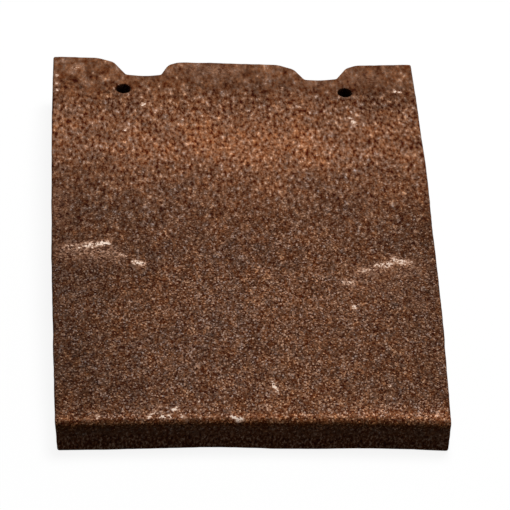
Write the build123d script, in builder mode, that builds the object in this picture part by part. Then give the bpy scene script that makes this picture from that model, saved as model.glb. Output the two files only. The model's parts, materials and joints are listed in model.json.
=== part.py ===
from build123d import *
import os
from math import asin, atan2, cos, hypot, sqrt, tan

# Clay eave tile in one fired piece, lying on its two nibs and its tail edge, in millimetres.
# X runs across the tile, Y from the tail to the head, Z up from the floor.

# Slab
tile_width = 165.0
tile_length = 215.0
tile_thickness = 17.0
camber_rise = 5.5
head_lift = 11.0

# Edges
tail_top_radius = 2.5
tail_lower_radius = 1.5
arris_radius = 1.2

# Recesses in the head edge, one over each nib
recess_centres = (-40.6, 39.9)
recess_floor = 15.0
recess_depth = 12.5
left_flank_run = 7.7
right_flank_run = 4.7
left_shoulder_radius = 15.0
left_floor_radius = 2.5
right_floor_radius = 5.5
right_shoulder_radius = 10.0
middle_lobe_setback = 2.0
flank_straight = 0.3

# Nibs turned down under the head
nib_width = 16.0
nib_face_from_head = 15.0
nib_back_from_head = 3.0
nib_lap = 7.0
nib_corner_radius = 2.5
nib_tip_radius = 1.2

# Nail holes
nail_hole_diameter = 6.4
nail_hole_spacing = 100.0
nail_hole_from_head = 22.2

# Clear margin by which cutting shapes overrun the clay
overrun = 6.0

# The underside is an arc over the chord from the tail edge to the head.
chord = hypot(tile_length, head_lift)
under_radius = chord**2 / (8 * camber_rise) + camber_rise / 2
top_radius = under_radius + tile_thickness
drop = under_radius - camber_rise
arc_y = drop * head_lift / chord
tail_slope = asin((arc_y + tile_length / 2) / under_radius)
tail_sink = tail_lower_radius * (1 / cos(tail_slope) + tan(tail_slope) - 1)
arc_z = head_lift / 2 - drop * tile_length / chord - tail_sink

tail_y = -tile_length / 2
head_y = tile_length / 2


def arc_height(y, radius):
    return arc_z + sqrt(radius**2 - (y - arc_y) ** 2)


# The two rounds of a recess flank leave at least flank_straight of its slope between them.
def flank_rounds(run, rise, first_radius, second_radius):
    room = (hypot(run, rise) - flank_straight) / tan(atan2(rise, run) / 2)
    share = min(1, room / (first_radius + second_radius))
    return [first_radius * share, second_radius * share]


# Section along the tile, with the tail edge rounded and the head left long
with BuildPart() as tile:
    with BuildSketch(Plane.YZ):
        rough_y = head_y + overrun
        with BuildLine():
            under = ThreePointArc(
                (tail_y, arc_height(tail_y, under_radius)),
                (0, arc_height(0, under_radius)),
                (rough_y, arc_height(rough_y, under_radius)),
            )
            top = ThreePointArc(
                (tail_y, arc_height(tail_y, top_radius)),
                (0, arc_height(0, top_radius)),
                (rough_y, arc_height(rough_y, top_radius)),
            )
            Line(under @ 0, top @ 0)
            Line(under @ 1, top @ 1)
        make_face()
        fillet(vertices().group_by(Axis.X)[0].sort_by(Axis.Y)[-1], radius=tail_top_radius)
        fillet(vertices().group_by(Axis.X)[0].sort_by(Axis.Y)[0], radius=tail_lower_radius)
    extrude(amount=tile_width / 2, both=True)

    # Head edge: three lobes with a rounded recess between each pair
    left_x, right_x = recess_centres
    half_floor = recess_floor / 2
    floor_y = head_y - recess_depth
    middle_y = head_y - middle_lobe_setback
    middle_share = 1 - middle_lobe_setback / recess_depth
    clear_x = tile_width / 2 + overrun
    clear_y = head_y + 2 * overrun
    outline = [
        (-clear_x, head_y),
        (left_x - half_floor - left_flank_run, head_y),
        (left_x - half_floor, floor_y),
        (left_x + half_floor, floor_y),
        (left_x + half_floor + right_flank_run * middle_share, middle_y),
        (right_x - half_floor - left_flank_run * middle_share, middle_y),
        (right_x - half_floor, floor_y),
        (right_x + half_floor, floor_y),
        (right_x + half_floor + right_flank_run, head_y),
        (clear_x, head_y),
        (clear_x, clear_y),
        (-clear_x, clear_y),
    ]
    middle_depth = recess_depth - middle_lobe_setback
    flanks = (
        flank_rounds(left_flank_run, recess_depth, left_shoulder_radius, left_floor_radius)
        + flank_rounds(right_flank_run * middle_share, middle_depth, right_floor_radius, right_shoulder_radius)
        + flank_rounds(left_flank_run * middle_share, middle_depth, left_shoulder_radius, left_floor_radius)
        + flank_rounds(right_flank_run, recess_depth, right_floor_radius, right_shoulder_radius)
    )
    outer_radii = [arris_radius] * 3
    with BuildSketch(Plane.XY):
        with BuildLine():
            FilletPolyline(*outline, radius=[arris_radius] + flanks + outer_radii, close=True)
        make_face()
    extrude(amount=tile_length, mode=Mode.SUBTRACT)

    # Arrises of the two sides and of the head
    side_edges = tile.faces().filter_by(Axis.X).edges()
    head_faces = tile.faces().filter_by(lambda f: f.center().Y > floor_y - overrun)
    rims = head_faces.edges().filter_by(Axis.Z, reverse=True)
    fillet(ShapeList(set(side_edges + rims)), radius=arris_radius)

# Nibs, each a tongue of clay under its recess
nib_face_y = head_y - nib_face_from_head
nib_back_y = head_y - nib_back_from_head
nib_middle_y = (nib_face_y + nib_back_y) / 2
nib_height = arc_height(nib_middle_y, under_radius) + nib_lap
with BuildPart() as nibs:
    with BuildSketch(Plane.XY):
        with Locations((left_x, nib_middle_y), (right_x, nib_middle_y)):
            RectangleRounded(nib_width, nib_back_y - nib_face_y, nib_corner_radius)
    extrude(amount=nib_height)
    fillet(nibs.faces().filter_by(Axis.Z).edges(), radius=nib_tip_radius)

with tile:
    add(nibs.part)

    # Nail holes, straight through from the weather face
    with BuildSketch(Plane.XY):
        with Locations((0, head_y - nail_hole_from_head)):
            with GridLocations(nail_hole_spacing, 0, 2, 1):
                Circle(nail_hole_diameter / 2)
    extrude(amount=tile_length, mode=Mode.SUBTRACT)

tile.part.label = "eave_tile"
os.makedirs("parts", exist_ok=True)
export_step(tile.part, "parts/eave_tile.step")
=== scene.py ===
import json
from math import asin, cos, hypot, pi, radians, sin, tan

import bpy
import numpy as np
from mathutils import Matrix, Vector


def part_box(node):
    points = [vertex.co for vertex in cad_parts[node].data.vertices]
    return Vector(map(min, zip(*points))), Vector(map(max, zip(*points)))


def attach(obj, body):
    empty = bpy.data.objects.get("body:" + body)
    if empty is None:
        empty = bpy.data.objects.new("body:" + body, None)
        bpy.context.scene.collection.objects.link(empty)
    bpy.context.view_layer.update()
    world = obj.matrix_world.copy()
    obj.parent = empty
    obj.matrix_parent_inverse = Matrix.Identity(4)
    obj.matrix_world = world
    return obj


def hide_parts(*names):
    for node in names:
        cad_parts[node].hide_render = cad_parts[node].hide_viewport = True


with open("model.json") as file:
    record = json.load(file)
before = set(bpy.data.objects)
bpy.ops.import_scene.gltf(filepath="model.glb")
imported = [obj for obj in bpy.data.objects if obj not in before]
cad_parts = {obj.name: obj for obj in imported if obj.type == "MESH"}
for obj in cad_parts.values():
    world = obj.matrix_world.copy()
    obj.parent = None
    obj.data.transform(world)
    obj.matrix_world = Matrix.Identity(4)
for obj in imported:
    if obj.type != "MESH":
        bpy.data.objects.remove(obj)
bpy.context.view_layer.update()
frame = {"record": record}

# Clay eave tile with a sanded weather face, lying on its two nibs and its tail edge.
# Shapes are worked out in millimetres: X across the tile, Y from the tail to the head, Z up from the floor.
mm = 0.001

# Slab, as in the part's source
low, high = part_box("eave_tile")
tile_width = (high.x - low.x) / mm
tile_length = (high.y - low.y) / mm
tile_thickness = 17.0
camber_rise = 5.5
head_lift = 11.0
tail_top_radius = 2.5
tail_lower_radius = 1.5
arris_radius = 1.2

# Recesses in the head edge: each falls over a sloped shoulder and a steeper flank to a sagging floor
recess_centres = np.array([-40.6, 39.9])
floor_left_runs = [8.0, 7.4]
floor_right_runs = [7.8, 7.0]
recess_depth = 12.5
left_shoulder_run = 7.4
left_shoulder_drop = 3.1
left_flank_steepness = 1.70
floor_left_rises = [0.5, 0.1]
floor_dip = 0.25
floor_right_rise = 1.0
right_flank_steepnesses = [2.1, 1.63]
right_shoulder_run = 4.9
right_shoulder_drop = 2.3
lobe_radius = 9.0
left_shoulder_radius = 6.0
right_shoulder_radius = 5.0
floor_corner_radius = 1.3
floor_radius = 30.0
middle_lobe_setback = 2.0
middle_lobe_tilt = 0.15

# Nibs under the recesses, with the shares of the wall above at which their section has points, and of the
# section over which it slides aside to meet the underside
nib_width = 16.0
nib_face_from_head = 15.0
nib_back_from_head = 3.0
nib_lap = 7.0
nib_corner_radius = 2.5
nib_tip_radius = 1.4
nib_ledge_radius = 2.0
nib_root_radius = 1.6
nib_side_draft = 0.9
nib_wall_shares = (0.4, 0.7)
nib_slide_share = 0.2

# Nail holes: the round of their lips, how far each is torn at its left, and the share of its depth torn
nail_holes = [m for m in frame["record"]["mounts"] if m["kind"] == "bore"]
hole_lip = 0.4
hole_tears = [0.8, 0.2]
tear_depth = 0.6

# How this tile departs from a true rectangle, in drying and firing
tail_set_in = 0.7
tail_slant = 1.1
tail_bow = 1.7
head_slant = 0.65
side_bow_at_tail = {-1: 1.3, 1: 0.8}
side_bow_at_head = {-1: 1.2, 1: 0.3}
right_lobe_drop = 1.3
right_lobe_rise = 0.65
tail_corner_squareness = 4.5
head_corner_squareness = 7.0
section_lean = 0.9
foot_wave = 0.45
foot_wave_length = 72.0
foot_wave_crest = 21.0
foot_wave_end = -15.0
foot_swell = 0.5
foot_swell_middle = -45.0
foot_swell_reach = 26.0
foot_out = 0.3
foot_bow = 0.3
foot_taper = 0.45
foot_reach = 10.0

# Where the sand thins out on the way down the rim, as shares of its depth, and what stays on the tail face
# and in the nail holes
sand_thins_from = 0.55
tail_sand_thins_from = 0.25
sand_thins_over = 0.40
tail_sand = 0.15
hole_sand = 0.4

# Fineness of the surface: grid lines, steps of the rim, the nail holes' share of the grid, and how far the
# grids of the two faces stop short of the outline
columns = 166
rows = 212
fan_steps = 8
round_loops = 8
wall_loops = 14
under_loops = 7
under_loop_bias = 1.6
line_samples = 20001
hole_squares = 4
hole_fade = 5
lip_loops = 3
hole_wall_loops = 6
face_inset = 2.0
head_under_inset = 4.2
inset_run = 12.0

# Arcs of the weather face and of the underside
chord = hypot(tile_length, head_lift)
under_radius = chord**2 / (8 * camber_rise) + camber_rise / 2
top_radius = under_radius + tile_thickness
drop = under_radius - camber_rise
arc_y = drop * head_lift / chord
tail_slope = asin((arc_y + tile_length / 2) / under_radius)
tail_sink = tail_lower_radius * (1 / cos(tail_slope) + tan(tail_slope) - 1)
arc_z = head_lift / 2 - drop * tile_length / chord - tail_sink
tail_y = -tile_length / 2
head_y = tile_length / 2


def ease(t):
    """Smooth step from 0 to 1, 3t^2 - 2t^3, held level outside."""
    t = np.clip(t, 0, 1)
    return t * t * (3 - 2 * t)


def arc_height(y, radius):
    """Height of an arc along the tile: a circle of that radius about (arc_y, arc_z)."""
    return arc_z + np.sqrt(radius**2 - (y - arc_y) ** 2)


def tail_line(x):
    """Where the tail edge lies: a straight line, slanted by tail_slant and bowed by the square of x."""
    across = 2 * x / tile_width
    return tail_y + tail_set_in + tail_slant * across - tail_bow * across**2


def side_line(y, hand):
    """Where a side edge lies: half the width, drawn in towards each end by the square of y."""
    along = 2 * y / tile_length
    bow = np.where(along < 0, side_bow_at_tail[hand], side_bow_at_head[hand])
    return hand * (tile_width / 2 - bow * along**2)


def rounded_edge(inset, radius, share):
    """Section over an arris: a level run of inset - radius, then a quarter arc down to the plumb wall.
    share goes from 0 on the face to 1 on the wall, evenly along the line.
    Returns the distance in from the wall and the drop below the face."""
    level = np.maximum(inset - radius, 0)
    start = np.arcsin(np.maximum(1 - inset / radius, 0))
    way = share * (level + radius * (pi / 2 - start))
    angle = start + np.maximum(way - level, 0) / radius
    inward = np.where(way < level, inset - way, radius * (1 - np.sin(angle)))
    return inward, radius * (1 - np.cos(angle))


def tail_round(from_tail):
    """Drop of the weather face where it rolls over to the tail: a quarter circle of tail_top_radius."""
    short = np.clip(tail_top_radius - from_tail, 0, tail_top_radius)
    return tail_top_radius - np.sqrt(tail_top_radius**2 - short**2)


def rounded_line(corners, radii):
    """Line through corners, each rounded by a tangent arc.
    Its heading is level along a run and turns evenly along an arc; its points are the running sum of
    short steps along that heading. Returns the points and their headings."""
    edges = np.diff(corners, axis=0)
    heading = np.arctan2(edges[:, 1], edges[:, 0])
    turn = np.diff(heading)
    trim = radii * np.tan(np.abs(turn) / 2)
    run = np.hypot(edges[:, 0], edges[:, 1]) - np.append(trim, 0) - np.insert(trim, 0, 0)
    stretches = np.zeros(2 * len(run) - 1)
    stretches[0::2] = run
    stretches[1::2] = radii * np.abs(turn)
    knots = np.insert(np.cumsum(stretches), 0, 0)
    way = np.linspace(0, knots[-1], line_samples)
    headings = np.interp(way, knots, np.repeat(heading, 2))
    middle = (headings[1:] + headings[:-1]) / 2
    steps = np.stack([np.cos(middle), np.sin(middle)], 1) * np.diff(way)[:, None]
    return np.concatenate([corners[:1], corners[0] + np.cumsum(steps, 0)]), headings


def recess(number, before, after):
    """Corners of one recess from left to right, each with its radius: shoulder, flank, floor, flank and
    shoulder, from a lobe at height before to a lobe at height after."""
    centre = recess_centres[number]
    floor_y = head_y - recess_depth
    left, left_y = centre - floor_left_runs[number], floor_y + floor_left_rises[number]
    right, right_y = centre + floor_right_runs[number], floor_y + floor_right_rise
    left_top, right_top = before - left_shoulder_drop, after - right_shoulder_drop
    left_shoulder = left - (left_top - left_y) / left_flank_steepness
    right_shoulder = right + (right_top - right_y) / right_flank_steepnesses[number]
    return [
        (left_shoulder - left_shoulder_run, before, lobe_radius),
        (left_shoulder, left_top, left_shoulder_radius),
        (left, left_y, floor_corner_radius),
        (centre, floor_y - floor_dip, floor_radius),
        (right, right_y, floor_corner_radius),
        (right_shoulder, right_top, right_shoulder_radius),
        (right_shoulder + right_shoulder_run, after, lobe_radius),
    ]


def head_edge():
    """Head edge from left to right, two lobes and a middle lobe with a rounded recess between each pair.
    Samples are even on the mean of the edge and its inset. Returns points and outward directions."""
    middle_y = head_y - middle_lobe_setback
    corners = np.array([
        (side_line(head_y, -1) + face_inset, head_y, 0),
        *recess(0, head_y, middle_y + middle_lobe_tilt),
        *recess(1, middle_y - middle_lobe_tilt, head_y - right_lobe_drop),
        (side_line(head_y, 1) - face_inset, head_y + right_lobe_rise, 0),
    ])
    corners[:, 1] -= head_slant * 2 * corners[:, 0] / tile_width
    line, headings = rounded_line(corners[:, :2], corners[1:-1, 2])
    outward = np.stack([-np.sin(headings), np.cos(headings)], 1)
    inner = line - face_inset * outward
    steps = np.hypot(*np.diff(line, axis=0).T) + np.hypot(*np.diff(inner, axis=0).T)
    way = np.insert(np.cumsum(steps), 0, 0)
    picks = np.interp(np.linspace(0, way[-1], columns + 1), way, np.arange(len(way)))
    picks = np.round(picks).astype(int)
    return line[picks], outward[picks]


def patch(tail, head, left, right):
    """Grid between four edge lines: the sheet ruled from tail to head plus the one ruled from left to
    right, less the sheet ruled between the four corners."""
    u = np.linspace(0, 1, len(tail))[None, :, None]
    v = np.linspace(0, 1, len(left))[:, None, None]
    ruled = (1 - v) * tail[None] + v * head[None] + (1 - u) * left[:, None] + u * right[:, None]
    corners = (1 - v) * ((1 - u) * tail[0] + u * tail[-1]) + v * ((1 - u) * head[0] + u * head[-1])
    return ruled - corners


def face_plan(head):
    """Plan grid of a face, from its head line, with the sides and the tail drawn in by face_inset."""
    left_x = side_line(tail_y, -1) + face_inset
    right_x = side_line(tail_y, 1) - face_inset
    x = np.linspace(left_x, right_x, columns + 1)
    tail = np.stack([x, tail_line(x) + face_inset], 1)
    left_y = np.linspace(tail[0, 1], head[0, 1], rows + 1)
    right_y = np.linspace(tail[-1, 1], head[-1, 1], rows + 1)
    left = np.stack([side_line(left_y, -1) + face_inset, left_y], 1)
    right = np.stack([side_line(right_y, 1) - face_inset, right_y], 1)
    return patch(tail, head, left, right)


def torn(angle, tear):
    """How far a nail hole is torn open: tear at its left, falling off as the sixth power of the cosine."""
    return tear * np.maximum(-np.cos(angle), 0) ** 6


def open_hole(plan, centre, radius, tear):
    """Draw a plan grid round a nail hole: each square ring of the grid becomes a circle, torn at the left,
    with its points spread evenly, easing back to the plain grid hole_fade rings out.
    Returns the plan, the hole's ring of grid numbers, and the grid squares that the hole leaves out."""
    nearest = ((plan - centre) ** 2).sum(-1).argmin()
    j, i = np.indices(plan.shape[:2])
    j = j - nearest // plan.shape[1]
    i = i - nearest % plan.shape[1]
    ring = np.maximum(np.abs(i), np.abs(j))
    turn = pi / 4 / np.maximum(ring, 1)
    sides = [i == ring, j == ring, i == -ring]
    angle = np.select(sides, [turn * j, pi / 2 - turn * i, pi - turn * j], 3 * pi / 2 + turn * i)
    step = tile_length / rows
    spread = radius + torn(angle, tear) + (ring - hole_squares) * step
    circle = centre + spread[..., None] * np.stack([np.cos(angle), np.sin(angle)], -1)
    weight = (1 - ease((ring - hole_squares) / hole_fade))[..., None]
    on_ring = np.flatnonzero(ring.ravel() == hole_squares)
    on_ring = on_ring[np.argsort(angle.ravel()[on_ring])]
    inside = np.maximum(np.abs(i + 0.5), np.abs(j + 0.5))[:-1, :-1] < hole_squares
    return plan + weight * (circle - plan), on_ring, inside


def value_noise(points, cell, seed):
    """Smooth random field from -1 to 1: random numbers on a cubic lattice of that cell, eased between."""
    size = 64
    lattice = np.random.default_rng(seed).uniform(-1, 1, (size, size, size))
    spots = points / cell
    corner = np.floor(spots).astype(int)
    share = ease(spots - corner)
    total = np.zeros(len(points))
    for offset in np.ndindex(2, 2, 2):
        index = (corner + offset) % size
        weight = np.where(offset, share, 1 - share).prod(1)
        total += weight * lattice[index[:, 0], index[:, 1], index[:, 2]]
    return total


def outward_normals(points, quads):
    """Unit normals at the points: the mean of the faces round each, weighted by area."""
    across = np.cross(points[quads[:, 2]] - points[quads[:, 0]], points[quads[:, 3]] - points[quads[:, 1]])
    total = [np.bincount(quads.ravel(), np.repeat(across[:, k], 4), len(points)) for k in range(3)]
    total = np.stack(total, 1)
    return total / np.maximum(np.linalg.norm(total, axis=1), 1e-12)[:, None]


def nib_section(wall, arris_z, under, under_z):
    """Section of a nib, from the recess wall to the underside: down the wall to a ledge, out to the nib's
    back, down to the floor, in to the nib's face and up to the underside, with each corner rounded.
    Returns points, station by station, wall_loops + under_loops of them."""
    aside = np.abs(wall[:, 0][:, None] - recess_centres).min(1)
    corner = np.clip(aside - nib_width / 2 + nib_corner_radius, 0, nib_corner_radius)
    rounding = nib_corner_radius - np.sqrt(nib_corner_radius**2 - corner**2)
    back = head_y - nib_back_from_head - rounding
    face = head_y - nib_face_from_head + rounding
    ledge = arc_height((back + face) / 2, under_radius) + nib_lap
    y_wall = np.minimum(wall[:, 1], back - nib_root_radius - nib_ledge_radius)
    root, edge, tip = nib_root_radius, nib_ledge_radius, nib_tip_radius
    chamfer = 1 - cos(pi / 4)
    floor = 0 * back
    stations = [
        *[(y_wall, arris_z + share * (ledge - arris_z)) for share in nib_wall_shares],
        (y_wall, ledge + root),
        (y_wall + chamfer * root, ledge + chamfer * root),
        (y_wall + root, ledge),
        ((y_wall + root + back - edge) / 2, ledge),
        (back - edge, ledge),
        (back - chamfer * edge, ledge - chamfer * edge),
        (back, ledge - edge),
        (back, ledge / 2),
        (back, floor + tip),
        (back - chamfer * tip, floor + chamfer * tip),
        (back - tip, floor),
        ((back + face) / 2, floor),
        (face + tip, floor),
        (face + chamfer * tip, floor + chamfer * tip),
        (face, floor + tip),
        (face, under_z / 2),
        (face, under_z - root),
        (face - chamfer * root, under_z - chamfer * root),
        (under[:, 1], under_z),
    ]
    y = np.array([s[0] for s in stations])
    z = np.array([s[1] for s in stations])
    left_to_go = 1 - np.arange(len(stations)) / (len(stations) - 1)
    towards_under = ease(1 - left_to_go / nib_slide_share)[:, None]
    x = wall[:, 0] + towards_under * (under[:, 0] - wall[:, 0])
    return np.stack([x, y, z], -1)


def shares(count):
    """Column of even shares, from 1 / count to 1."""
    return (np.arange(1, count + 1) / count)[:, None]


def raised(plan, height):
    """Points in space from their plan and their heights."""
    return np.concatenate([plan, height[..., None]], -1)


def rim_directions(grid, head_out):
    """Grid numbers round the rim of a face, counter-clockwise from the left end of the tail, with the outward
    direction of each. An outer corner repeats its number over a fan of directions. Each direction lies on the
    curve |x|^n + |y|^n = 1, where n is 2 along an edge and more at a square corner.
    Returns numbers and directions, and how far each belongs to the tail and to the head."""
    fan = np.arange(1, fan_steps) / fan_steps
    corner = np.ones(fan_steps - 1, int)
    rim = np.concatenate([
        grid[0], corner * grid[0, -1], grid[:, -1], corner * grid[-1, -1],
        grid[-1, ::-1], corner * grid[-1, 0], grid[::-1, 0], corner * grid[0, 0],
    ])
    across, length, plain = np.zeros(columns + 1), np.zeros(rows + 1), fan * 0
    head_turn = np.arctan2(head_out[::-1, 1], head_out[::-1, 0])
    turn = np.concatenate([
        across - pi / 2, (fan - 1) * pi / 2, length, fan * pi / 2,
        head_turn, (fan + 1) * pi / 2, length + pi, (fan + 2) * pi / 2,
    ])
    squareness = np.concatenate([
        across + 2, plain + tail_corner_squareness, length + 2, plain + head_corner_squareness,
        across + 2, plain + head_corner_squareness, length + 2, plain + tail_corner_squareness,
    ])[:, None]
    out = np.stack([np.cos(turn), np.sin(turn)], 1)
    out = out / (np.abs(out) ** squareness).sum(1, keepdims=True) ** (1 / squareness)
    on_tail = np.concatenate([across + 1, ease(1 - fan), length, plain, across, plain, length, ease(fan)])
    on_head = np.concatenate([across, plain, length, plain, across + 1, plain, length, plain])
    return rim, out, on_tail, on_head


def hole_wall(centre, radius, tear, ring):
    """Wall of a nail hole under its ring of plan points: a rounded lip, torn at the left, a shaft on which
    the tear eases away by tear_depth of the way down, and a rounded foot. Returns points, loop by loop."""
    ray = ring - centre
    ray = ray / np.hypot(ray[:, 0], ray[:, 1])[:, None]
    tear = torn(np.arctan2(ray[:, 1], ray[:, 0]), tear)
    inward, fall = rounded_edge(hole_lip, hole_lip, shares(lip_loops))
    lip = centre + (radius + tear + inward)[..., None] * ray
    lip_z = arc_height(lip[..., 1], top_radius) - fall
    foot = centre + (radius + inward[::-1])[..., None] * ray
    foot_z = arc_height(foot[..., 1], under_radius) + fall[::-1]
    share = shares(hole_wall_loops)[:-1]
    shaft_z = lip_z[-1] + share * (foot_z[0] - lip_z[-1])
    shaft = centre + (radius + tear * (1 - ease(share / tear_depth)))[..., None] * ray
    return raised(np.concatenate([lip, shaft, foot]), np.concatenate([lip_z, shaft_z, foot_z]))


def tile_surface():
    """The whole tile as one closed surface: a weather face and an underside, each a grid on a plan drawn
    in from the outline, joined by a rim whose section is carried round the outline, and by two nail-hole
    walls. Returns points in millimetres, faces of four corners, and how much sand each point carries."""
    edge, edge_out = head_edge()
    along = np.insert(np.cumsum(np.hypot(*np.diff(edge, axis=0).T)), 0, 0)
    from_corner = np.minimum(along, along[-1] - along)
    under_inset = face_inset + (head_under_inset - face_inset) * ease(from_corner / inset_run)
    top = face_plan(edge - face_inset * edge_out)
    under = face_plan(edge - under_inset[:, None] * edge_out)

    # Nail holes
    rings, cut = [], []
    for hole, tear in zip(nail_holes, hole_tears):
        centre = np.array(hole["pos_m"][:2]) / mm
        radius = hole["dims"]["r_mm"]
        top, top_ring, top_cut = open_hole(top, centre, radius + hole_lip, tear)
        under, under_ring, under_cut = open_hole(under, centre, radius + hole_lip, 0)
        rings.append((centre, radius, tear, top_ring, under_ring))
        cut.append((top_cut, under_cut))

    # The two faces
    top = top.reshape(-1, 2)
    under = under.reshape(-1, 2)
    top_z = arc_height(top[:, 1], top_radius) - tail_round(top[:, 1] - tail_line(top[:, 0]))
    under_z = arc_height(under[:, 1], under_radius)
    count = len(top)
    points = [raised(top, top_z), raised(under, under_z)]
    sand = [np.ones(count), np.zeros(count)]

    # Rim section: over the upper arris, down the wall, round the lower arris
    grid = np.arange(count).reshape(rows + 1, columns + 1)
    rim, out, on_tail, on_head = rim_directions(grid, edge_out)
    wall = top[rim] + face_inset * out
    upper_radius = arris_radius + (tail_top_radius - arris_radius) * on_tail
    inward, fall = rounded_edge(face_inset, upper_radius, shares(round_loops))
    fall = fall - rounded_edge(face_inset, upper_radius, 0)[1]
    upper = wall - inward[..., None] * out
    rolled = tail_round(top[rim, 1] - tail_line(top[rim, 0]))
    upper_z = arc_height(upper[..., 1], top_radius) - rolled - fall
    arris_z = upper_z[-1]

    lower_inset = np.full(len(rim), face_inset)
    lower_inset[on_head > 0] = under_inset[::-1]
    lower_radius = arris_radius + (tail_lower_radius - arris_radius) * on_tail
    inward, rise = rounded_edge(lower_inset, lower_radius, 1 - shares(under_loops) ** under_loop_bias)
    lower = wall - inward[..., None] * out
    lower_z = arc_height(lower[..., 1], under_radius) + rise
    foot_z = arc_height(wall[:, 1], under_radius) + lower_radius
    wall_z = arris_z + shares(wall_loops) * (foot_z - arris_z)
    plumb = np.broadcast_to(wall, (*wall_z.shape, 2))
    down = np.concatenate([raised(plumb, wall_z), raised(lower, lower_z)])

    # Nibs, where the head edge passes over them
    aside = np.abs(wall[:, 0][:, None] - recess_centres).min(1)
    nib = on_head * ease((nib_width / 2 + nib_side_draft / 2 - aside) / nib_side_draft)
    down = down + nib[:, None] * (nib_section(wall, arris_z, under[rim], under_z[rim]) - down)

    around = np.concatenate([raised(upper, upper_z), down[:-1]])
    points.append(around.reshape(-1, 3))
    depth = np.linspace(0, 1, len(around))[:, None]
    thin_from = sand_thins_from + (tail_sand_thins_from - sand_thins_from) * on_tail
    sand.append((1 - ease((depth - thin_from) / sand_thins_over) * (1 - tail_sand * on_tail)).ravel())
    numbers = 2 * count + np.arange(around[..., 0].size).reshape(around.shape[:2])
    loops = np.concatenate([rim[None], numbers, rim[None] + count])

    # Nail-hole walls
    start = 2 * count + numbers.size
    hole_loops = []
    for centre, radius, tear, top_ring, under_ring in rings:
        shaft = hole_wall(centre, radius, tear, top[top_ring])
        points.append(shaft.reshape(-1, 3))
        numbers = start + np.arange(shaft[..., 0].size).reshape(shaft.shape[:2])
        sand.append(np.full(numbers.size, hole_sand))
        hole_loops.append(np.concatenate([top_ring[None], numbers, under_ring[None] + count]))
        start += numbers.size

    # Faces, each pointing outwards
    square = np.stack([grid[:-1, :-1], grid[:-1, 1:], grid[1:, 1:], grid[1:, :-1]], -1)
    keep_top = ~np.any([c[0] for c in cut], axis=0)
    keep_under = ~np.any([c[1] for c in cut], axis=0)
    faces = [square[keep_top], count + square[keep_under][:, ::-1]]
    after = np.roll(loops, -1, axis=1)
    faces.append(np.stack([loops[:-1], loops[1:], after[1:], after[:-1]], -1).reshape(-1, 4))
    for loop in hole_loops:
        after = np.roll(loop, -1, axis=1)
        faces.append(np.stack([loop[:-1], after[:-1], after[1:], loop[1:]], -1).reshape(-1, 4))
    points, faces, sand = np.concatenate(points), np.concatenate(faces), np.concatenate(sand)
    used, faces = np.unique(faces, return_inverse=True)
    return points[used], faces.reshape(-1, 4), sand[used]


# Unevenness of the clay and of the sand, each lump by its size and its height in millimetres, with the seed
# of the first, and the share of the sand's unevenness that bare clay shows
lumps = [(34.0, 0.28), (10.0, 0.12)]
lump_seed = 11
sand_lumps = [(4.2, 0.08), (2.1, 0.07)]
sand_lump_seed = 21
bare_grit = 0.3


def bumps(points, sizes, first_seed):
    """Height of a set of lumps at the points: smooth random fields, each times its height, added up."""
    seeded = enumerate(sizes, first_seed)
    return sum(height * value_noise(points, cell, seed) for seed, (cell, height) in seeded)


def roughen(points, faces, sand):
    """Push the surface along its normals by the height of its lumps, the finer ones less on bare clay, and
    keep it off the floor."""
    relief = bumps(points, lumps, lump_seed)
    grit = bumps(points, sand_lumps, sand_lump_seed)
    height = relief + (bare_grit + (1 - bare_grit) * sand) * grit
    moved = points + outward_normals(points, faces) * height[:, None]
    moved[:, 2] = np.maximum(moved[:, 2], 0)
    return moved


def lean(points):
    """Shear the section, more and more from the head to the tail: its foot stands section_lean to the right
    of its top and foot_taper in at each side. The foot of the tail face stands out by foot_out, less a bow by
    the square of x, waves by a cosine right of foot_wave_end, and swells by exp(-d^2) about
    foot_swell_middle, all of it easing to nothing foot_reach up the tile."""
    x = points[:, 0]
    across = 2 * x / tile_width
    depth = (arc_height(points[:, 1], top_radius) - points[:, 2]) / tile_thickness
    depth = np.clip(depth, 0, 1) * ease(0.5 - points[:, 1] / tile_length)
    wave = foot_wave * np.cos(2 * pi * (np.maximum(x, foot_wave_end) - foot_wave_crest) / foot_wave_length)
    swell = foot_swell * np.exp(-(((x - foot_swell_middle) / foot_swell_reach) ** 2))
    stands_out = foot_out - foot_bow * across**2 + wave + swell
    near_tail = 1 - ease((points[:, 1] - tail_y) / foot_reach)
    aside = section_lean - foot_taper * across
    return points + np.stack([aside * depth, -stands_out * depth * near_tail, 0 * depth], 1)


def added(name, data):
    """New object in the scene."""
    made = bpy.data.objects.new(name, data)
    bpy.context.scene.collection.objects.link(made)
    return made


def make_piece(name, points, faces, material):
    """Mesh object at the origin from points in millimetres. Faces with two equal corners become triangles."""
    doubled = np.stack([faces[:, k] == faces[:, (k + 1) % 4] for k in range(4)], 1)
    whole = faces[~doubled.any(1)]
    split = faces[doubled.any(1)]
    kept = np.argsort(doubled[doubled.any(1)], axis=1, kind="stable")[:, :3]
    triangles = np.take_along_axis(split, np.sort(kept, axis=1), 1)
    mesh = bpy.data.meshes.new(name)
    mesh.from_pydata((points * mm).tolist(), [], whole.tolist() + triangles.tolist())
    mesh.polygons.foreach_set("use_smooth", np.ones(len(mesh.polygons), bool))
    mesh.materials.append(material)
    mesh.update()
    return added(name, mesh)


def put(tree, kind, inputs, **settings):
    """Add a node with its settings; an input that is a socket is linked, and anything else is a value."""
    made = tree.nodes.new(kind)
    for name, value in settings.items():
        setattr(made, name, value)
    for socket, value in inputs.items():
        if isinstance(value, bpy.types.NodeSocket):
            tree.links.new(value, made.inputs[socket])
        else:
            made.inputs[socket].default_value = value
    return made


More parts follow.
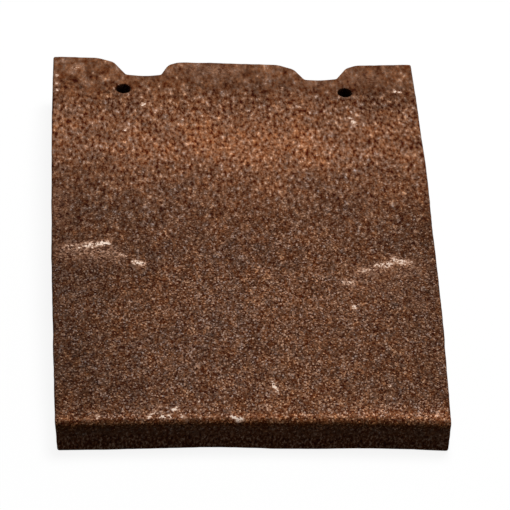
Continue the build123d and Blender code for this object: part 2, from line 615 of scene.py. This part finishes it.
def sized_noise(tree, place, size, detail=2.0, rough=0.55):
    """Soft noise from 0 to 1 whose lumps are about size millimetres."""
    inputs = {"Vector": place, "Scale": 1 / size, "Detail": detail, "Roughness": rough}
    return put(tree, "ShaderNodeTexNoise", inputs, noise_dimensions="3D").outputs["Fac"]


def sized_cells(tree, place, size):
    """Grains about size millimetres apart: a random colour for each, and the distance from its middle."""
    inputs = {"Vector": place, "Scale": 1 / size}
    made = put(tree, "ShaderNodeTexVoronoi", inputs, voronoi_dimensions="3D", feature="F1")
    return made.outputs["Color"], made.outputs["Distance"]


def remap(tree, value, start, end, low_end=0.0, high_end=1.0):
    """Value carried from start..end to low_end..high_end by a smooth step, held level outside."""
    inputs = {"Value": value, "From Min": start, "From Max": end, "To Min": low_end, "To Max": high_end}
    return put(tree, "ShaderNodeMapRange", inputs, interpolation_type="SMOOTHSTEP").outputs[0]


def share_between(tree, value, start, end):
    """Share of the way from start to end at which a value lies."""
    return put(tree, "ShaderNodeMapRange", {"Value": value, "From Min": start, "From Max": end}).outputs[0]


def rescaled(tree, place, scale):
    """Place with each axis scaled. A scale under 1 draws marks out along its axis."""
    return put(tree, "ShaderNodeMapping", {"Vector": place, "Scale": scale}).outputs[0]


def sums(tree, operation, first, second):
    """One sum on two numbers."""
    return put(tree, "ShaderNodeMath", {0: first, 1: second}, operation=operation).outputs[0]


def scaled(tree, value, factor, start=0.0):
    """Value times factor, plus start."""
    return put(tree, "ShaderNodeMath", {0: value, 1: factor, 2: start}, operation="MULTIPLY_ADD").outputs[0]


def between(tree, share, first, second):
    """Number that goes from first to second as share goes from 0 to 1."""
    return put(tree, "ShaderNodeMix", {0: share, 2: first, 3: second}, data_type="FLOAT").outputs[0]


def crossed(tree, share, first, second):
    """Two swings about 0, crossed over at even strength: each is weighted by the root of its share."""
    first_weight = sums(tree, "POWER", scaled(tree, share, -1.0, 1.0), 0.5)
    second_weight = sums(tree, "POWER", share, 0.5)
    return scaled(tree, first, first_weight, sums(tree, "MULTIPLY", second, second_weight))


def mixed(tree, share, first, second, way="MIX"):
    """Two colours mixed by share."""
    inputs = {0: share, 6: first, 7: second}
    return put(tree, "ShaderNodeMix", inputs, data_type="RGBA", blend_type=way).outputs[2]


def tinted(tree, colour, tint):
    """Colour times a tint."""
    return mixed(tree, 1.0, colour, tint, "MULTIPLY")


def ramp(tree, value, stops):
    """Colour that runs through stops, each a place from 0 to 1 and a colour, as value goes from 0 to 1."""
    made = put(tree, "ShaderNodeValToRGB", {0: value})
    elements = made.color_ramp.elements
    while len(elements) < len(stops):
        elements.new(0.5)
    for element, (place, colour) in zip(elements, stops):
        element.position = place
        element.color = (*colour, 1)
    return made.outputs[0]


def tones(*stops):
    """Grey stops for a ramp, from pairs of place and strength."""
    return [(place, (strength, strength, strength)) for place, strength in stops]


def stored(tree, name):
    """Number kept for each point of the piece."""
    return put(tree, "ShaderNodeAttribute", {}, attribute_name=name).outputs["Fac"]


# Sizes of the marks in the finish, in millimetres, and how far and how broadly the grains are jostled
grain_size = 0.62
jostle = 0.6
jostle_size = 2 * grain_size
fleck_size = 0.4
blotch_size = 1.7
cloud_size = 3.0
hue_size = 2.8
mottle_size = 8.0
drift_size = 34.0
bare_size = 1.0
streak_size = 1.0

# Detail and roughness of the noise in the marks
smooth_detail = 1.0
fine_detail = 3.0
coarse = 0.6

# How strongly each kind of mark tells, the swing above which a pale blotch is held back and the share of it
# that stays, and the scale along each axis by which marks are drawn out
grain_strength = 1.0
fleck_strength = 0.6
blotch_strength = 2.95
blotch_bright = 0.12
blotch_knee = 0.70
cloud_strength = 1.7
# Bare clay's swing is widened to paint the shade and highlight of its relief
bare_swing_with_relief_shade = 3.7
blotch_draw = (1.15, 0.65, 1.0)
bare_draw = (1.0, 1.0, 0.55)
streak_draw = (0.6, 1.0, 1.0)

# Stretches along the tile, in millimetres from its middle: from sharp grain to blotches, from sand to
# smooth clay, where the darker left side ends towards the head, and where the darker right side begins.
# Then the share of the left side's dark that shows at the tail, and how far the first two stretches wander
softening = (-40.0, 55.0)
sand_end = (64.0, 92.0)
even_left = (10.0, 74.0)
even_right = (-107.0, -80.0)
left_at_tail = 0.85
wander_width = 30.0

# Share of sand between which the grain goes from sharp to blotchy, how unevenly the grains hold, and the
# hold between which a grain goes from bare clay to sand
thinning = (1.0, 0.6)
grain_hold = 0.8
sand_cover = (0.70, 1.00)

# Distances from a grain's middle between which it darkens into painted shade in the gaps, its tone and the
# gaps', and that of blotches
grain_edge = (0.35, 0.80)
grain_tone = 1.05
gap_shade_tone = 0.55
blotch_tone = 0.92

# Chance above which a grain is pale, how pale, and how much of that is lost towards the head
pale_chance = (0.985, 0.990)
pale_strength = 0.8
pale_loss = 0.75

# How far streaks and grains break a scuff, where from, and the range over which it turns to chalk
streak_break = 2.3
grain_break = 0.8
break_from = -0.70
chalk_range = (0.02, 1.12)

# Roughness over a range of flecks, sheen, and relief of the grain
fleck_range = (0.2, 0.8)
roughness_range = (0.82, 0.97)
sheen = 0.05
grain_relief = 0.22
relief_strength = 0.7
fleck_relief = 0.5

# Colours of the sand grains, from the darkest to the palest
grain_colours = [
    (0.00, (0.032, 0.004, 0.001)),
    (0.12, (0.059, 0.013, 0.003)),
    (0.32, (0.100, 0.036, 0.015)),
    (0.52, (0.141, 0.062, 0.033)),
    (0.72, (0.198, 0.097, 0.058)),
    (0.90, (0.300, 0.167, 0.114)),
    (1.00, (0.500, 0.318, 0.240)),
]
warm_grain = (1.12, 0.98, 0.80, 1)
cool_grain = (0.92, 1.02, 1.14, 1)
hue_patches = [(0.28, (1.15, 0.99, 0.76)), (0.72, (0.88, 1.01, 1.18))]
hue_drift = [(0.30, (0.95, 1.00, 1.06)), (0.70, (1.05, 1.00, 0.92))]
pale_grain = (0.560, 0.370, 0.280, 1)

# Colours of bare clay, its wide swing partly painted shade and highlight of its relief, and of chalk, from
# the darkest to the palest, and tints of the other marks
bare_clay_with_relief_shade = [
    (0.00, (0.014, 0.002, 0.001)),
    (0.25, (0.055, 0.011, 0.001)),
    (0.50, (0.128, 0.040, 0.014)),
    (0.75, (0.262, 0.120, 0.064)),
    (1.00, (0.500, 0.320, 0.225)),
]
chalk_colours = [
    (0.00, (0.240, 0.110, 0.062)),
    (0.50, (0.520, 0.280, 0.175)),
    (0.80, (0.830, 0.550, 0.400)),
    (1.00, (0.980, 0.800, 0.670)),
]
untinted = (1, 1, 1, 1)
rust_tint = (0.86, 0.70, 0.50, 1)
# Tint of the painted shade in the nail holes and of the dark spots and smudges
hole_shade_and_spot_tint = (0.25, 0.22, 0.20, 1)
# Tint of the painted highlight on the crest of the tail roll
crest_highlight_tint = (1.58, 1.54, 1.50, 1)

# Strength of the finish along the tile, tail to head, across it, left to right, and by its mottling
length_tones = tones(
    (0.00, 1.20), (0.02, 1.20), (0.035, 1.10), (0.07, 1.00), (0.28, 0.98),
    (0.44, 0.92), (0.52, 0.99), (0.60, 1.24), (0.65, 1.45), (0.71, 1.84),
    (0.80, 1.52), (0.86, 1.22), (0.91, 1.05), (0.95, 1.14), (1.00, 1.28),
)
left_tones = tones((0.00, 0.62), (0.10, 0.72), (0.20, 0.83), (0.32, 0.97), (0.50, 1.00))
right_tones = tones((0.70, 1.00), (0.80, 0.97), (0.90, 0.90), (1.00, 0.79))
mottle_tones = tones((0.25, 0.78), (0.50, 1.00), (0.75, 1.24))
drift_tones = tones((0.30, 0.92), (0.70, 1.08))


def sanded_clay():
    """Fired clay pressed in sand: sharp grains of many browns towards the tail, with painted shade in the
    gaps between them, softer blotches towards the head and cloudy clay at the head edge, with broad tones
    along and across the tile. Down the rim the sand thins grain by grain to bare clay, whose colour swing is
    partly painted shade and highlight of its relief. On it lie a rust-coloured tail arris with a painted
    highlight on its crest, painted shade in the nail holes, dark spots and smudges, and chalky scuffs."""
    material = bpy.data.materials.new("sanded_clay")
    material.use_nodes = True
    tree = material.node_tree
    shader = tree.nodes["Principled BSDF"]
    coordinates = put(tree, "ShaderNodeTexCoord", {}).outputs["Object"]
    place = rescaled(tree, coordinates, (1 / mm, 1 / mm, 1 / mm))
    across, along, _ = put(tree, "ShaderNodeSeparateXYZ", {0: place}).outputs
    sand, scuff, rust, hole_shade_and_spots, crest_highlight = (stored(tree, name) for name in ("sand", "scuff", "rust", "hole_shade_and_spots", "painted_crest_highlight"))

    drift = sized_noise(tree, place, drift_size)
    mottle = sized_noise(tree, place, mottle_size, fine_detail)
    fleck = sized_noise(tree, place, fleck_size, smooth_detail)
    lengthwise = rescaled(tree, place, blotch_draw)
    blotch = sized_noise(tree, lengthwise, blotch_size, rough=coarse)
    cloud = sized_noise(tree, lengthwise, cloud_size, rough=coarse)
    hue = sized_noise(tree, lengthwise, hue_size, fine_detail)
    shifting = {"Vector": place, "Scale": 1 / jostle_size, "Detail": smooth_detail}
    shift = put(tree, "ShaderNodeTexNoise", shifting).outputs["Color"]
    jostling = {0: shift, 1: (jostle, jostle, jostle), 2: place}
    jostled = put(tree, "ShaderNodeVectorMath", jostling, operation="MULTIPLY_ADD").outputs[0]
    grain, middle = sized_cells(tree, jostled, grain_size)
    chance = put(tree, "ShaderNodeSeparateColor", {0: grain}).outputs

    # Grit from 0, dark, to 1, pale
    wander = sums(tree, "ADD", along, scaled(tree, mottle, wander_width, -wander_width / 2))
    towards_head = remap(tree, wander, *softening)
    soft_share = sums(tree, "MAXIMUM", towards_head, remap(tree, sand, *thinning))
    band = remap(tree, wander, *sand_end)
    sharp = scaled(tree, chance[0], grain_strength, -(grain_strength + fleck_strength) / 2)
    sharp = scaled(tree, fleck, fleck_strength, sharp)
    soft = scaled(tree, blotch, blotch_strength, -blotch_strength / 2)
    held_back = scaled(tree, soft, blotch_knee, (1 - blotch_knee) * blotch_bright)
    soft = sums(tree, "MINIMUM", soft, held_back)
    cloudy = scaled(tree, cloud, cloud_strength, -(cloud_strength + 1) / 2)
    cloudy = sums(tree, "ADD", cloudy, blotch)
    swing = crossed(tree, band, crossed(tree, soft_share, sharp, soft), cloudy)
    grit = sums(tree, "ADD", swing, 0.5)

    # Colour of each grain, darker in the gaps by painted shade
    face = ramp(tree, grit, grain_colours)
    face = tinted(tree, face, mixed(tree, chance[1], warm_grain, cool_grain))
    # Painted shade in the gaps between grains
    gap = between(tree, soft_share, remap(tree, middle, *grain_edge, grain_tone, gap_shade_tone), blotch_tone)
    face = tinted(tree, face, put(tree, "ShaderNodeCombineColor", {0: gap, 1: gap, 2: gap}).outputs[0])
    paleness = scaled(tree, towards_head, -pale_loss, pale_strength)
    pale = sums(tree, "MULTIPLY", remap(tree, chance[2], *pale_chance), paleness)
    face = mixed(tree, pale, face, pale_grain)
    face = tinted(tree, face, ramp(tree, hue, hue_patches))
    face = tinted(tree, face, ramp(tree, drift, hue_drift))

    # Broad tones and mottling
    length_share = share_between(tree, along, tail_y, head_y)
    face = tinted(tree, face, ramp(tree, length_share, length_tones))
    width_share = share_between(tree, across, -tile_width / 2, tile_width / 2)
    left_end = remap(tree, along, *even_left, 1.0, 0.0)
    left_share = sums(tree, "MULTIPLY", left_end, remap(tree, along, *even_right, left_at_tail, 1.0))
    face = mixed(tree, left_share, face, tinted(tree, face, ramp(tree, width_share, left_tones)))
    right_share = remap(tree, along, *even_right)
    face = mixed(tree, right_share, face, tinted(tree, face, ramp(tree, width_share, right_tones)))
    patchy = ramp(tree, mottle, mottle_tones)
    face = tinted(tree, face, patchy)
    face = tinted(tree, face, ramp(tree, drift, drift_tones))

    # Bare clay where no grain holds, its swing partly painted relief shading, with rust on the tail arris, a
    # painted highlight on its crest, painted shade in the nail holes, and dark spots and smudges
    bare = sized_noise(tree, rescaled(tree, place, bare_draw), bare_size, rough=coarse)
    bare = scaled(tree, bare, bare_swing_with_relief_shade, (1 - bare_swing_with_relief_shade) / 2)
    # Bare clay colour, its swing partly painted shade and highlight of its relief
    body = tinted(tree, ramp(tree, bare, bare_clay_with_relief_shade), patchy)
    cover = remap(tree, scaled(tree, chance[0], grain_hold, sand), *sand_cover)
    face = mixed(tree, cover, body, face)
    # Rust, then painted shade in the nail holes with dark spots and smudges, then a painted highlight on the
    # tail crest
    for share, tint in ((rust, rust_tint), (hole_shade_and_spots, hole_shade_and_spot_tint), (crest_highlight, crest_highlight_tint)):
        face = tinted(tree, face, mixed(tree, share, untinted, tint))

    # Chalky scuffs, drawn out across the tile and broken by the grain
    streak = sized_noise(tree, rescaled(tree, place, streak_draw), streak_size, rough=coarse)
    broken = scaled(tree, streak, streak_break, scaled(tree, chance[0], grain_break, break_from))
    chalk = remap(tree, sums(tree, "MULTIPLY", scuff, broken), *chalk_range)
    face = mixed(tree, chalk, face, ramp(tree, chalk, chalk_colours))
    tree.links.new(face, shader.inputs["Base Color"])

    # Roughness, sheen and the relief of the grain
    tree.links.new(remap(tree, fleck, *fleck_range, *roughness_range), shader.inputs["Roughness"])
    shader.inputs["Specular IOR Level"].default_value = sheen
    lift = sums(tree, "SUBTRACT", sums(tree, "MULTIPLY", fleck, fleck_relief), middle)
    height = sums(tree, "MULTIPLY", lift, sand)
    relief = {"Strength": relief_strength, "Distance": grain_relief * mm, "Height": height}
    tree.links.new(put(tree, "ShaderNodeBump", relief).outputs[0], shader.inputs["Normal"])
    return material


# Chalky scuffs on the weather face, each by the x and y of its start and end, half width and strength
scuffs = [
    # The long scuff on the left
    (-63.0, -14.5, -58.5, -13.5, 1.6, 1.10),
    (-68.0, -15.5, -65.5, -15.0, 2.5, 0.88),
    (-71.0, -16.5, -68.5, -16.0, 1.7, 0.66),
    (-76.0, -15.8, -69.5, -14.8, 2.0, 0.60),
    (-76.5, -19.0, -66.0, -18.5, 3.0, 0.38),
    (-60.0, -18.0, -54.5, -18.5, 2.0, 0.52),
    (-73.5, -21.5, -69.5, -21.0, 0.9, 0.52),
    (-54.5, -19.5, -51.0, -20.5, 1.5, 0.64),
    (-47.5, -24.0, -44.0, -25.0, 1.1, 1.25),
    (-47.0, -26.5, -45.0, -28.0, 1.8, 0.35),
    # The long scuff on the right
    (56.5, -24.5, 62.0, -23.5, 1.9, 0.92),
    (64.0, -20.5, 67.5, -22.0, 2.3, 0.88),
    (67.5, -22.0, 71.5, -22.0, 1.7, 0.74),
    (65.5, -18.0, 66.5, -19.0, 1.3, 0.38),
    (73.5, -20.0, 74.5, -20.5, 1.0, 0.42),
    (49.0, -27.5, 53.5, -26.8, 1.8, 0.72),
    (41.0, -34.0, 45.5, -33.5, 2.1, 0.74),
    (45.0, -47.5, 45.5, -47.5, 1.0, 1.30),
    # Spots and scratches towards the head
    (-41.4, 74.6, -41.3, 73.8, 1.1, 1.25),
    (-38.6, 75.6, -38.4, 75.6, 0.8, 0.85),
    (-50.0, 57.2, -50.0, 56.8, 0.9, 1.10),
    (-49.8, 58.0, -49.5, 61.0, 1.3, 0.50),
    (-66.0, 26.5, -65.5, 26.5, 1.1, 0.55),
    (-74.0, 66.0, -73.5, 66.0, 1.4, 0.40),
    (-72.5, 99.0, -69.5, 100.5, 1.8, 0.60),
    (-80.0, 94.0, -80.0, 93.5, 0.9, 1.10),
    (-80.0, 88.5, -80.0, 88.0, 0.9, 1.10),
    (-80.0, 83.5, -80.0, 83.0, 0.8, 0.95),
    (-80.0, 68.5, -80.0, 67.0, 1.3, 0.50),
    (21.5, 87.0, 21.5, 87.5, 0.9, 0.85),
    (69.5, 86.8, 72.0, 86.7, 0.8, 0.55),
    (72.5, 86.6, 75.5, 86.4, 0.9, 1.10),
    (51.3, 67.2, 52.6, 63.5, 1.7, 0.80),
    (56.0, 65.5, 56.5, 65.5, 1.0, 0.50),
    (33.0, 54.0, 33.0, 53.5, 1.1, 0.55),
    # Spots and chips along the tail
    (8.7, -87.4, 9.4, -90.0, 0.7, 1.35),
    (10.1, -91.4, 10.4, -92.2, 0.8, 1.05),
    (5.5, -98.0, 6.0, -102.0, 0.9, 0.65),
    (42.0, -97.5, 44.0, -99.0, 0.9, 0.52),
    (57.5, -88.5, 57.5, -89.0, 0.9, 0.80),
    (63.0, -103.5, 63.5, -103.5, 1.0, 0.60),
    (-22.0, -98.0, -22.0, -97.5, 0.8, 0.90),
    (-0.5, -104.0, 1.5, -105.0, 1.2, 0.48),
    (-9.0, -104.8, -4.4, -105.8, 0.8, 1.15),
    (-43.0, -105.5, -40.5, -103.0, 1.0, 0.95),
    (-38.5, -105.5, -34.0, -105.0, 0.9, 1.05),
    (-33.0, -102.0, -31.0, -101.0, 0.9, 1.10),
    (-29.5, -105.0, -29.0, -105.0, 1.0, 1.15),
    (-40.0, -101.5, -38.0, -100.0, 0.9, 0.70),
    (-6.8, -106.0, -5.9, -107.4, 0.6, 1.15),
    (-64.0, -106.0, -63.5, -105.5, 1.0, 1.00),
    (-68.0, -107.5, -67.5, -107.5, 0.8, 0.60),
    (-78.5, -105.5, -78.0, -105.5, 0.8, 0.55),
    # Wide, faint hazes
    (-77.0, -18.0, -58.0, -19.0, 6.0, 0.48),
    (-79.0, 16.0, -79.0, -2.0, 5.0, 0.36),
    (50.0, -28.0, 74.0, -26.0, 6.0, 0.34),
    (62.0, -38.0, 74.0, -46.0, 6.0, 0.28),
    (48.0, -35.0, 58.0, -36.0, 5.0, 0.28),
    (-17.0, 100.0, 0.0, 100.0, 6.0, 0.36),
    (53.0, 96.0, 63.0, 96.0, 6.0, 0.32),
    (36.0, 92.0, 45.0, 92.0, 5.0, 0.27),
]

# Reach of a scuff, in half widths
scuff_spread = 1.2

# Share of the tail's rounding below which the marks of the weather face fade
marks_fade_from = 0.4


def upper_side(points):
    """1 on the weather face and the arrises round it, easing to 0 below them."""
    below = arc_height(points[:, 1], top_radius) - points[:, 2]
    return 1 - ease(below / tail_top_radius - marks_fade_from)


def scuffed(points):
    """How far each point of the upper side is scuffed: the strongest of the scuffs there, each fading as
    exp(-(d / reach)^2) with the distance d from its line, for a reach of scuff_spread half widths."""
    lines = np.array(scuffs)
    start, run = lines[:, :2], lines[:, 2:4] - lines[:, :2]
    away = points[:, None, :2] - start
    share = np.clip((away * run).sum(-1) / np.maximum((run**2).sum(-1), 1e-9), 0, 1)
    gap = np.linalg.norm(away - share[..., None] * run, axis=-1)
    reach = scuff_spread * lines[:, 4]
    return (lines[:, 5] * np.exp(-((gap / reach) ** 2))).max(1) * upper_side(points)


# Dark spots and faint smudges in the weather face, each by its x and y, radius and strength
dark_spots_and_smudges = [
    (-69.2, 85.5, 1.1, 1.0),
    (-56.7, 82.3, 1.0, 1.0),
    (62.0, -41.5, 1.0, 1.0),
    (77.0, -38.5, 1.0, 1.0),
    (-54.0, 79.0, 3.0, 0.22),
    (-64.0, 80.0, 9.0, 0.14),
    (64.0, 78.0, 9.0, 0.10),
    (79.0, 14.0, 13.0, 0.17),
    (27.0, 8.0, 7.0, 0.18),
    (68.0, -3.0, 11.0, 0.24),
    (27.0, -83.0, 8.0, 0.14),
    (54.0, -84.0, 12.0, 0.09),
    (29.5, -100.5, 6.0, 0.13),
    (-79.0, -90.0, 11.0, 0.22),
]


def painted_hole_shade_and_spots(points):
    """How far each point is darkened: in a dark spot or smudge of the upper side, the strongest of strength
    times exp(-(d / radius)^2), and in a nail hole by painted shade, which eases from 0 at the lip to 1 on the
    wall."""
    spots = np.array(dark_spots_and_smudges)
    away = np.linalg.norm(points[:, None, :2] - spots[:, :2], axis=-1)
    darkest = (spots[:, 3] * np.exp(-((away / spots[:, 2]) ** 2))).max(1) * upper_side(points)
    for hole in nail_holes:
        away = np.linalg.norm(points[:, :2] - np.array(hole["pos_m"][:2]) / mm, axis=1)
        darkest = np.maximum(darkest, ease((hole["dims"]["r_mm"] - away) / hole_lip + 1))
    return darkest


# Reach of the rust-coloured tail arris, up the weather face and down the tail face
rust_up = 1.7
rust_down = 1.0


def rusted(points):
    """How far each point is rust coloured: falls off as exp(-(d / reach)^2) from the roll at the tail."""
    from_tail = np.maximum(points[:, 1] - tail_line(points[:, 0]), 0)
    below = np.maximum(arc_height(points[:, 1], top_radius) - points[:, 2] - tail_top_radius, 0)
    return np.exp(-((from_tail / rust_up) ** 2) - (below / rust_down) ** 2)


# Painted highlight on the crest of the roll at the tail: how far in it lies, its reach down the roll and up
# the face, and how much farther it spreads up the face towards the right corner
highlight_crest = 2.5
highlight_reach = 0.85
highlight_spread = 5.0
highlight_spread_from = 20.0
highlight_spread_run = 55.0


def painted_crest_highlight(points):
    """How far the tail crest carries a painted highlight: falls off as exp(-(d / reach)^2) from a line at the
    crest, a set inset in from the tail. Up the face the reach grows by an eased step across the tile."""
    x, y, _ = points.T
    past_crest = y - tail_line(x) - highlight_crest
    reach = highlight_reach + (past_crest > 0) * highlight_spread * ease((x - highlight_spread_from) / highlight_spread_run)
    return np.exp(-((past_crest / reach) ** 2)) * upper_side(points)


def store(piece, name, values):
    """Keep one number for each point of a piece, for its finish to read."""
    piece.data.attributes.new(name, "FLOAT", "POINT").data.foreach_set("value", values.astype(np.float32))


points, faces, sand = tile_surface()
points = roughen(lean(points), faces, sand)
tile = make_piece("sanded_tile", points, faces, sanded_clay())
store(tile, "sand", sand)
store(tile, "scuff", scuffed(points))
store(tile, "rust", rusted(points))
# Painted shade in the nail holes, with dark spots and smudges
store(tile, "hole_shade_and_spots", painted_hole_shade_and_spots(points))
# Painted highlight on the crest of the tail roll
store(tile, "painted_crest_highlight", painted_crest_highlight(points))
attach(tile, "root")
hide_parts("eave_tile")


def seen(tree):
    """1 where a surface is looked at, straight, mirrored or through glass, and 0 where it only lights."""
    rays = put(tree, "ShaderNodeLightPath", {}).outputs
    mirrored = sums(tree, "MAXIMUM", rays["Is Glossy Ray"], rays["Is Transmission Ray"])
    return sums(tree, "MAXIMUM", rays["Is Camera Ray"], mirrored)


# Studio floor, in metres: white to the eye, with a faint shadow, and dim as a source of bounced light
floor_half = 4.0
floor_shade = 0.12
floor_glow = 0.89
floor_bounce = 0.075
floor_material = bpy.data.materials.new("studio_floor")
floor_material.use_nodes = True
tree = floor_material.node_tree
tree.nodes.clear()
shaded = put(tree, "ShaderNodeBsdfDiffuse", {"Color": (floor_shade, floor_shade, floor_shade, 1)})
glow = put(tree, "ShaderNodeEmission", {"Color": (1, 1, 1, 1), "Strength": floor_glow})
looks = put(tree, "ShaderNodeAddShader", {0: shaded.outputs[0], 1: glow.outputs[0]})
bounce = put(tree, "ShaderNodeBsdfDiffuse", {"Color": (floor_bounce, floor_bounce, floor_bounce, 1)})
surface = put(tree, "ShaderNodeMixShader", {0: seen(tree), 1: bounce.outputs[0], 2: looks.outputs[0]})
put(tree, "ShaderNodeOutputMaterial", {"Surface": surface.outputs[0]})
floor_mesh = bpy.data.meshes.new("studio_floor")
floor_corners = floor_half * np.array([(-1, -1, 0), (1, -1, 0), (1, 1, 0), (-1, 1, 0)])
floor_mesh.from_pydata(floor_corners.tolist(), [], [(0, 1, 2, 3)])
floor_mesh.materials.append(floor_material)
floor = added("studio_floor", floor_mesh)

# Sky: a weak even light, white to the eye
sky_level = 0.085
world = bpy.data.worlds.new("studio")
bpy.context.scene.world = world
world.use_nodes = True
tree = world.node_tree
level = between(tree, seen(tree), sky_level, 1.0)
tree.nodes["Background"].inputs["Color"].default_value = (1, 1, 1, 1)
tree.links.new(level, tree.nodes["Background"].inputs["Strength"])

# Soft lamp, above and behind the tile and a little to the right, with its distance and width in metres
lamp_distance = 1.6
lamp_from_plumb = radians(13.5)
lamp_bearing = radians(27.0)
lamp_width = 0.7
lamp_level = 0.91
lamp_data = bpy.data.lights.new("soft_lamp", "AREA")
lamp_data.shape = "SQUARE"
lamp_data.size = lamp_width
lamp_data.energy = lamp_level * pi**2 * lamp_distance**2 / cos(lamp_from_plumb)
lamp = added("soft_lamp", lamp_data)
ray = Vector((
    sin(lamp_from_plumb) * sin(lamp_bearing),
    sin(lamp_from_plumb) * cos(lamp_bearing),
    cos(lamp_from_plumb),
))
lamp.location = ray * lamp_distance
lamp.rotation_mode = "QUATERNION"
lamp.rotation_quaternion = ray.to_track_quat("Z", "Y")

# Camera, from the tail end and above, looking slightly across the tile and turned a little
picture_width = 510
camera_focus = 3133.0
camera_azimuth = radians(-6.51)
camera_elevation = radians(43.78)
camera_roll = radians(5.34)
camera_target = Vector((6.00, -3.93, 12.0)) * mm
camera_distance = 1360.0 * mm
camera_data = bpy.data.cameras.new("camera")
camera_data.sensor_width = 36.0
camera_data.lens = camera_focus * camera_data.sensor_width / picture_width
camera_data.clip_end = 50.0
camera = added("camera", camera_data)
back = Vector((
    sin(camera_azimuth) * cos(camera_elevation),
    -cos(camera_azimuth) * cos(camera_elevation),
    sin(camera_elevation),
))
level_right = (-back).cross(Vector((0, 0, 1))).normalized()
level_up = level_right.cross(-back)
right = cos(camera_roll) * level_right + sin(camera_roll) * level_up
up = -sin(camera_roll) * level_right + cos(camera_roll) * level_up
camera_place = Matrix((right, up, back)).transposed().to_4x4()
camera_place.translation = camera_target + back * camera_distance
camera.matrix_world = camera_place
bpy.context.scene.camera = camera

bpy.context.scene.view_settings.view_transform = "Standard"

bpy.context.view_layer.update()
